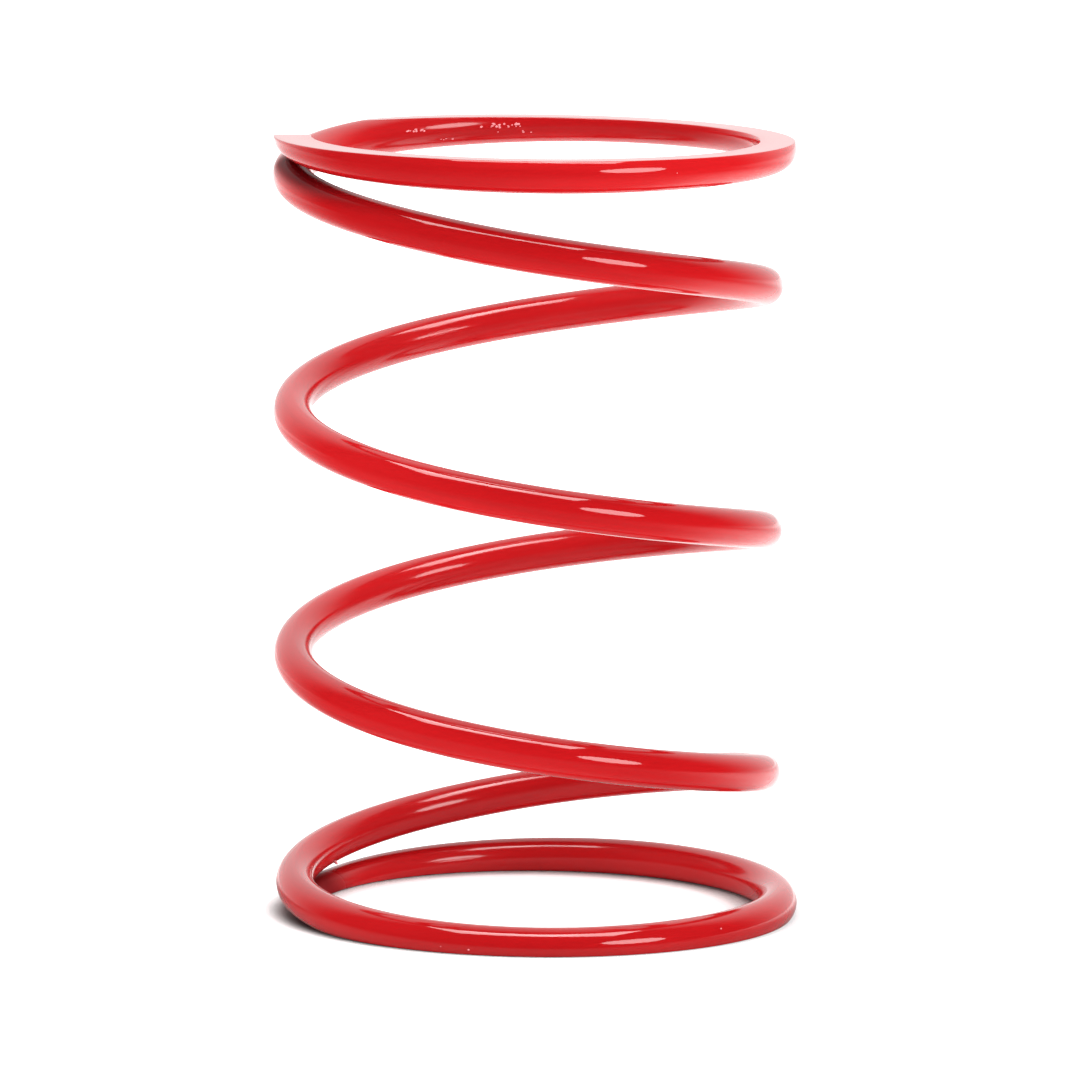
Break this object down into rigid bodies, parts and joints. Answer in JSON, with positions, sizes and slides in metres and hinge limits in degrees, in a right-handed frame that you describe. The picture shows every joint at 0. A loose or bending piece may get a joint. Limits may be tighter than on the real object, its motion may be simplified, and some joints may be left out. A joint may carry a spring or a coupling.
{
  "type": "clutch torque spring",
  "caption": "Left-hand wound compression spring of round wire with closed ends ground flat, gloss red coat, for the driven side of a belt drive clutch.",
  "frame": {"origin": "centre of the lower closed coil, on the plane of its ground face", "axes": "+Z along the coil axis towards the upper seat; -X towards the upper wire tip; +Y to the back as the picture shows it"},
  "size_m": [0.0599, 0.0603, 0.09],
  "materials": {
    "red_coat": "gloss"
  },
  "bodies": {
    "root": {"torque_spring": "red_coat"}
  },
  "joints": []
}
